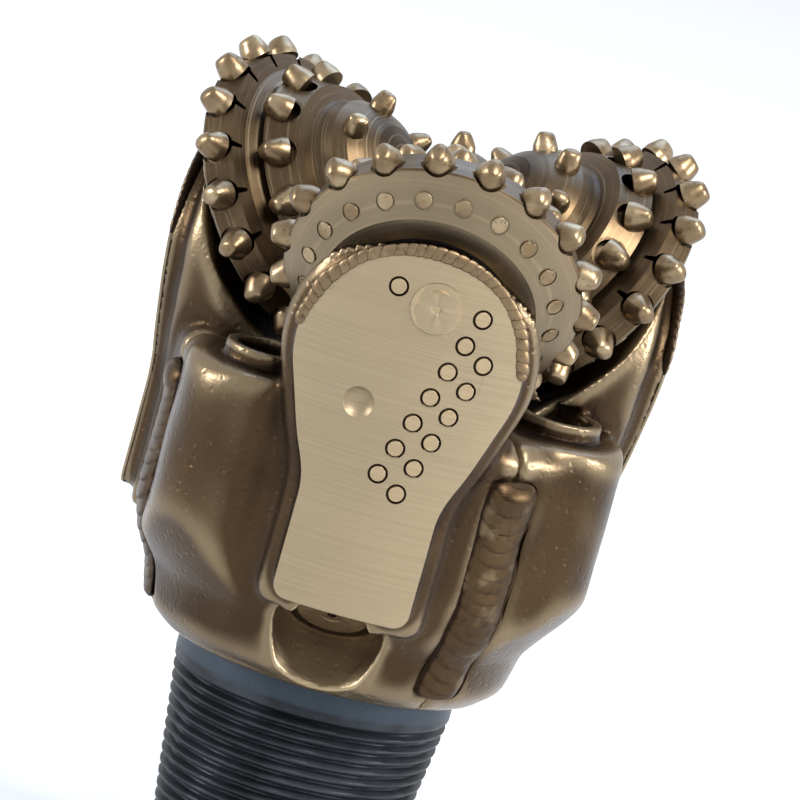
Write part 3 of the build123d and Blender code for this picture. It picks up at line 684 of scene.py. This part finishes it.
# Point on the plate of a leg at an arc along its surface and a height, both in millimetres
def platePoint(place, name):
    arc, height = place[0] * mm, place[1] * mm
    radius = plateRadius(height)
    turn = arc / radius
    point = np.array([[radius * math.sin(turn), -radius * math.cos(turn), height]])
    return turnedPoints(point, legAngles[name])[0]


# Points and triangles of a CAD leg, with the points that share a cell of the merge size made one
def legTriangles(name):
    mesh = frame["nodes"]["leg_" + name].data
    mesh.calc_loop_triangles()
    points = meshPoints(mesh)
    faces = np.empty(len(mesh.loop_triangles) * 3, np.int64)
    mesh.loop_triangles.foreach_get("vertices", faces)
    cells = np.round(points / plateSkin["merge"]).astype(np.int64)
    _, first, merged = np.unique(cells, axis=0, return_index=True, return_inverse=True)
    return points[first], merged.ravel()[faces].reshape(-1, 3)


# Places of the flush buttons: each column steps back by an arc and down by a pitch
def buttonPlaces():
    step, pitch = buttons["step"], buttons["pitch"]
    places = [buttons["alone"]]
    for arc, top, count in buttons["columns"]:
        places += [(arc - step * k, top - pitch * k) for k in range(count)]
    return places


# The plate's own faces of the CAD leg with its grooves and bowl, thickened inward to a closed slab
def shirttailPlate(name):
    p = plateSkin
    points, faces = legTriangles(name)
    across, outward, height = legShares(points, name)
    depth = plateRadius(height) - np.hypot(across, outward)  # under the plate's radius
    inside = onPlate(points, name, p["dimpleDepth"])
    flat = inside & (np.abs(depth) < p["slack"])
    bowl = inside & (np.linalg.norm(points - platePoint(p["dimple"], name), axis=1) < p["dimpleReach"])
    groove = np.zeros(len(points), bool)
    for spot in buttonPlaces():
        groove |= np.linalg.norm(points - platePoint(spot, name), axis=1) < p["grooveReach"]
    groove &= inside & (depth < p["grooveDepth"])
    corners = points[faces]
    normal = np.cross(corners[:, 1] - corners[:, 0], corners[:, 2] - corners[:, 0])
    middle = corners.mean(1)
    radial = (normal[:, :2] * middle[:, :2]).sum(1) / (
        np.linalg.norm(normal, axis=1) * np.hypot(middle[:, 0], middle[:, 1]) + 1e-18
    )
    pitted = bowl[faces].all(1) | groove[faces].all(1)
    chosen = faces[(flat | bowl | groove)[faces].all(1) & ((radial > p["facing"]) | pitted)]
    used, small = np.unique(chosen, return_inverse=True)
    chosen = small.reshape(-1, 3)
    top = points[used]
    way = top.copy()
    way[:, 2] = 0
    below = top - way / np.linalg.norm(way, axis=1)[:, None] * p["thickness"]
    sides = np.concatenate([chosen[:, [0, 1]], chosen[:, [1, 2]], chosen[:, [2, 0]]])
    key = sides[:, 0] * len(used) + sides[:, 1]
    back = sides[:, 1] * len(used) + sides[:, 0]
    rim = sides[~np.isin(key, back)]
    count = len(used)
    walls = np.stack([rim[:, 1], rim[:, 0], rim[:, 0] + count, rim[:, 1] + count], -1)
    everyFace = chosen.tolist() + (chosen[:, ::-1] + count).tolist() + walls.tolist()
    piece = meshPiece("shirttailPlate_" + name, np.concatenate([top, below]), everyFace, p["sharp"])
    # painted shade on the faces sunk below the plate: button grooves and sides
    pitShade = ((depth > p["pitDepth"]) & ~bowl)[used].astype(float)
    storeHollow(piece, np.concatenate([pitShade, np.ones(count)]))
    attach(piece, "bit_body")
    return piece


# The ground face of the ball plug: rays fall from its middle ring to the rim, and a pit marks its centre
def plugFace(name):
    p = plateSkin
    reach = np.concatenate([[0.0], np.linspace(0.06, 1, 26)])[:, None]
    turns = np.linspace(0, tau, 72, endpoint=False)[None, :]
    seed = p["plugSeeds"][name]
    rise = 0.10 + 0.34 * (1 - reach**5) - 0.9 * np.exp(-((reach / 0.16) ** 2))
    rise = rise + 0.16 * np.cos(5 * turns + seed + 2.0 * reach) * np.sin(np.pi * reach) * reach**0.5
    rise = rise + 0.07 * np.cos(9 * turns + 2 * seed) * np.sin(np.pi * reach)
    centre = platePoint(p["plug"], "a")
    angle = math.atan2(centre[0], -centre[1])
    arc = p["plugRadius"] * reach * np.cos(turns)
    height = centre[2] + p["plugRadius"] * reach * np.sin(turns)
    height, arc = np.broadcast_arrays(height, arc)
    radius = plateRadius(height) + p["plugProud"] + rise * mm
    turn = angle + arc / plateRadius(height)
    face = np.stack([radius * np.sin(turn), -radius * np.cos(turn), height], -1)
    rim = face[-1:] - p["plugWall"] * np.stack([np.sin(turn[-1:]), -np.cos(turn[-1:]), 0 * turn[-1:]], -1)
    centreBelow = np.repeat(rim.mean(1, keepdims=True), turns.size, 1)
    points = turnedPoints(np.concatenate([face, rim, centreBelow]), legAngles[name])
    piece = gridPiece("plugFace_" + name, points, False)
    closePoles(piece)
    storeHollow(piece, plugDark(piece, name))
    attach(piece, "bit_body")
    return piece


# Inserts: barrel radius and height of each kind in millimetres, and the shape that they share
insertSizes = dict(
    gage=(6.3, 8.6), inner=(6.3, 9.2), nose=(5.2, 7.7), barrel=1.5 * mm, below=1.2 * mm, crestLength=0.70,
    crestWidth=0.44, rows=16, around=28, sharp=50.0,
)
# Rings on each cone: place along its axis, radius, lean to the nose, count and first turn; a nose row gives the
# dome's end, its radius and the share along it instead
gageRing = (16.9, 59.575, -12.0, 18, 0.0)
domeStart = 12.5 / 2 + 1.6 * 2 + 1.0  # past the last row: half a hole, its spot faces and a land
insertRings = dict(
    a=dict(
        gage=[gageRing],
        inner=[(34.3, 45.2, -30.96, 14, 11.0), (52.0, 30.8, -30.96, 9, 22.0)], nose=[(84.0, 20.0, 0.62, 3, 20.0)],
    ),
    b=dict(
        gage=[gageRing],
        inner=[(34.5, 45.4, -30.96, 14, 11.0)], nose=[(72.0, 32.0, 0.50, 8, 20.0)],
    ),
    c=dict(
        gage=[gageRing],
        inner=[(37.5, 43.0, -30.96, 13, 11.0)], nose=[(70.0, 31.0, 0.60, 6, 20.0)],
    ),
)


# One insert: its section shrinks from a circle to a long crest by height, then rounds over to the top
def insertPoints(radius, height):
    i = insertSizes
    share = np.concatenate([[0.0], np.linspace(0.0, 1.0, i["rows"] - 1) ** 0.8])[:, None]
    rise = -i["below"] + (np.arange(i["rows"]) > 0)[:, None] * (i["below"] + i["barrel"])
    rise = rise + share * (height - i["barrel"]) * (np.arange(i["rows"]) > 0)[:, None]
    turns = np.linspace(0, tau, i["around"], endpoint=False)[None, :]
    over = np.clip(1 - share**10, 0, 1) ** 0.34
    ease = share**1.15
    long = radius * (1 + (i["crestLength"] - 1) * ease) * over
    short = radius * (1 + (i["crestWidth"] - 1) * ease) * over
    return np.stack(np.broadcast_arrays(long * np.cos(turns), short * np.sin(turns), rise), -1)


# The inserts of one kind on one cone: each is tipped over its lean, set out by its ring, spun about the cone's
# axis, laid along the journal of leg A and turned to its own leg
def joinInserts(group, name):
    work = []
    joint = spins["roller_" + name]
    lean = math.radians(journal["lean"])
    axes = np.array([[1, 0, 0], [0, math.sin(lean), -math.cos(lean)], [0, math.cos(lean), math.sin(lean)]])
    radius, height = insertSizes[group]
    shape = insertPoints(radius * mm, height * mm)
    for ring in insertRings[name][group]:
        place, away, tilt, count, first = nosePlace(name) + ring[3:] if group == "nose" else ring
        for k in range(count):
            spin = math.radians(first + 360 * k / count)
            dip = math.radians(90 - tilt)
            c, s = math.cos(dip), math.sin(dip)
            local = shape @ np.array([[c, 0, -s], [0, 1, 0], [s, 0, c]]) + np.array([away * mm, 0, place * mm])
            c, s = math.cos(spin), math.sin(spin)
            onAxis = local @ np.array([[c, s, 0], [-s, c, 0], [0, 0, 1]])
            work.append(turnedPoints(onAxis @ axes + journal["place"], legAngles[name]))
    rows, around = shape.shape[:2]
    index = np.arange(rows * around).reshape(rows, around)
    here, up = index[:-1], index[1:]
    quads = np.stack([here, np.roll(here, -1, 1), np.roll(up, -1, 1), up], -1).reshape(-1, 4)
    base = index[0][::-1]
    faces = []
    for start in range(0, len(work) * index.size, index.size):
        faces += (quads + start).tolist() + [(base + start).tolist()]
    points = np.concatenate(work).reshape(-1, 3)
    piece = meshPiece(f"{group}Inserts_{name}", points, faces, insertSizes["sharp"])
    closePoles(piece)
    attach(piece, joint["child"])
    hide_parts(f"{group}_inserts_{name}")
    return piece


# Place, radius and lean of the nose inserts, square to the dome, which starts past the last row's groove
def nosePlace(name):
    end, radius, share, _, _ = insertRings[name]["nose"][0]
    start = insertRings[name]["inner"][-1][0] + domeStart
    length = end - start
    rest = math.sqrt(1 - share**2)
    return (start + length * share, radius * rest, math.degrees(math.atan2(radius * share, length * rest)))


# Painted shade at the rim and in the pit of the plug's face
def plugDark(piece, name):
    p = plateSkin
    away = np.linalg.norm(meshPoints(piece.data) - platePoint(p["plug"], name), axis=1)
    return np.where((away > p["plugRim"]) | (away < p["plugPit"]), 0.5, 0.0)


# Joins the points that lie on one another at the poles of a grid
def closePoles(piece):
    work = bmesh.new()
    work.from_mesh(piece.data)
    bmesh.ops.remove_doubles(work, verts=work.verts, dist=0.001 * mm)
    bmesh.ops.dissolve_degenerate(work, edges=work.edges, dist=0.0005 * mm)
    bmesh.ops.recalc_face_normals(work, faces=work.faces)
    work.to_mesh(piece.data)
    work.free()


# Camera: its place about the bit, its lens over its sensor, its roll and the spot it looks at
camera = dict(
    azimuth=-0.25, height=712.8 * mm, distance=3.0, lens=334.971, sensor=36, roll=15.66, clip=(0.1, 50),
    aimAcross=3.4 * mm, aimHeight=111.7 * mm,
)


# Looks from its place to the spot, rolled about that line
def makeCamera():
    c = camera
    turn = math.radians(c["azimuth"])
    spot = Vector((c["distance"] * math.sin(turn), -c["distance"] * math.cos(turn), c["height"]))
    aim = Vector((c["aimAcross"] * math.cos(turn), c["aimAcross"] * math.sin(turn), c["aimHeight"]))
    data = bpy.data.cameras.new("camera")
    data.lens = c["lens"]
    data.sensor_width = c["sensor"]
    data.clip_start, data.clip_end = c["clip"]
    eye = bpy.data.objects.new("camera", data)
    look = (aim - spot).to_track_quat("-Z", "Y").to_matrix().to_4x4()
    eye.matrix_world = Matrix.Translation(spot) @ look @ Matrix.Rotation(math.radians(c["roll"]), 4, "Z")
    bpy.context.scene.collection.objects.link(eye)
    bpy.context.scene.camera = eye


# Lamps: direction to the lamp as azimuth and elevation, side, watts and colour
lamps = dict(
    key=dict(azimuth=38, elevation=50, side=1.1, power=110, colour=(1.0, 0.96, 0.90)),
    left=dict(azimuth=-84, elevation=12, side=0.6, power=62, colour=(1.0, 0.98, 0.95)),
    right=dict(azimuth=82, elevation=14, side=0.6, power=75, colour=(1.0, 0.98, 0.95)),
    sky=dict(azimuth=172, elevation=60, side=2.4, power=70, colour=(0.40, 0.62, 1.0)),
)
lampDistance = 3.2
lampTarget = Vector((0, 0, 0.11))


# Square lamps on a sphere about the bit, each facing its middle
def makeLamps():
    for name, lamp in lamps.items():
        data = bpy.data.lights.new(name, "AREA")
        data.energy = lamp["power"]
        data.size = lamp["side"]
        data.color = lamp["colour"]
        a, e = math.radians(lamp["azimuth"]), math.radians(lamp["elevation"])
        way = Vector((math.sin(a) * math.cos(e), -math.cos(a) * math.cos(e), math.sin(e)))
        item = bpy.data.objects.new(name, data)
        item.location = lampTarget + way * lampDistance
        item.rotation_mode = "QUATERNION"
        item.rotation_quaternion = way.to_track_quat("Z", "Y")
        bpy.context.scene.collection.objects.link(item)


# White where the world is seen, and an even soft level where it lights the bit
def makeWorld(ambient=0.25):
    world = bpy.data.worlds.new("studio")
    bpy.context.scene.world = world
    world.use_nodes = True
    background = world.node_tree.nodes["Background"]
    background.inputs["Color"].default_value = (1, 1, 1, 1)
    shop = Shop(world.node_tree)
    levels = {"Value": shop.seenRays(), "To Min": ambient, "To Max": 1.0}
    shop.feed(background.inputs["Strength"], shop.add("MapRange", {}, **levels))


# A flat square under the pin's end, grey to the lamps and paler where it is seen
floorSizes = dict(halfSide=30.0, grey=(0.50, 0.50, 0.50), cloud=(0.52, 0.52, 0.515), glow=(0.60, 0.60, 0.60))


def makeFloor():
    f = floorSizes
    low, side = cadBox[0][2], f["halfSide"]
    corners = np.array([(-side, -side, low), (side, -side, low), (side, side, low), (-side, side, low)])
    floor = meshPiece("floor", corners, [(0, 1, 2, 3)])
    finish = Finish("floorPaint", Roughness=0.9, Specular_IOR_Level=0.0, Emission_Strength=1.0)
    cloud = finish.noise(finish.place, 1.5, 2.0)
    finish.connect(
        Base_Color=finish.mix(cloud, f["grey"], f["cloud"]),
        Emission_Color=finish.mix(finish.seenRays(), (0.0, 0.0, 0.0), f["glow"]),
    )
    dress(floor, finish.material)


bpy.context.scene.view_settings.view_transform = "Standard"

print("stage: materials")
legPaints = {name: legPaint(name) for name in legAngles}
conePaints = {name: conePaint(name) for name in legAngles}
insertFinish = insertPaint()
plateFinish = platePaint("platePaint", paint["turned"])
buttonFinish = platePaint("buttonPaint", paint["bright"], 0.08)
weldFinish = weldPaint("weldPaint", paint["forged"], 260.0)
beadFinish = weldPaint("beadPaint", paint["insert"], 420.0)
pinFinish = phosphateSteel()
bearingSteel = plainMetal("bearingSteel", (0.60, 0.60, 0.61), (0.42, 0.42, 0.43), 0.22, 1.0)
bearingBronze = plainMetal("bearingBronze", (0.66, 0.45, 0.22), (0.45, 0.29, 0.13), 0.32, 1.0)
nitrile = plainMetal("nitrile", (0.030, 0.030, 0.031), (0.055, 0.055, 0.054), 0.55, 0.0)
carbide = plainMetal("carbide", (0.24, 0.24, 0.25), (0.13, 0.13, 0.135), 0.36, 0.9)

print("stage: CAD nodes")
nodeFinishes = dict(
    shirttail_buttons=buttonFinish, ball_plug=buttonFinish, bearing_balls=bearingSteel, nozzle=carbide,
    journal_bushing=bearingBronze, thrust_washer=bearingBronze, seal_ring=nitrile, reservoir_canister=nitrile,
    gage_inserts=insertFinish, inner_inserts=insertFinish, nose_inserts=insertFinish, heel_inserts=insertFinish,
)
for nodeName, node in frame["nodes"].items():
    kind, leg = nodeName[:-2], nodeName[-1]
    if nodeName == "threaded_pin":
        dress(node, pinFinish)
    elif kind == "leg":
        dress(node, legPaints[leg])
    elif kind == "cone":
        dress(node, conePaints[leg])
    else:
        dress(node, nodeFinishes.get(kind, beadFinish))

print("stage: threaded pin")
dress(threadedPin(), pinFinish)

print("stage: legs, beads and seams")
for name in legAngles:
    dress(forgedLeg(name), legPaints[name])
    dress(shirttailPlate(name), plateFinish)
    dress(plugFace(name), plateFinish)
    dress(shirttailBead(name), beadFinish)
    dress(weldSeam(name), weldFinish)

print("stage: inserts")
for name in legAngles:
    for group in ("gage", "inner", "nose"):
        dress(joinInserts(group, name), insertFinish)

print("stage: studio")
makeCamera()
makeLamps()
makeWorld()
makeFloor()
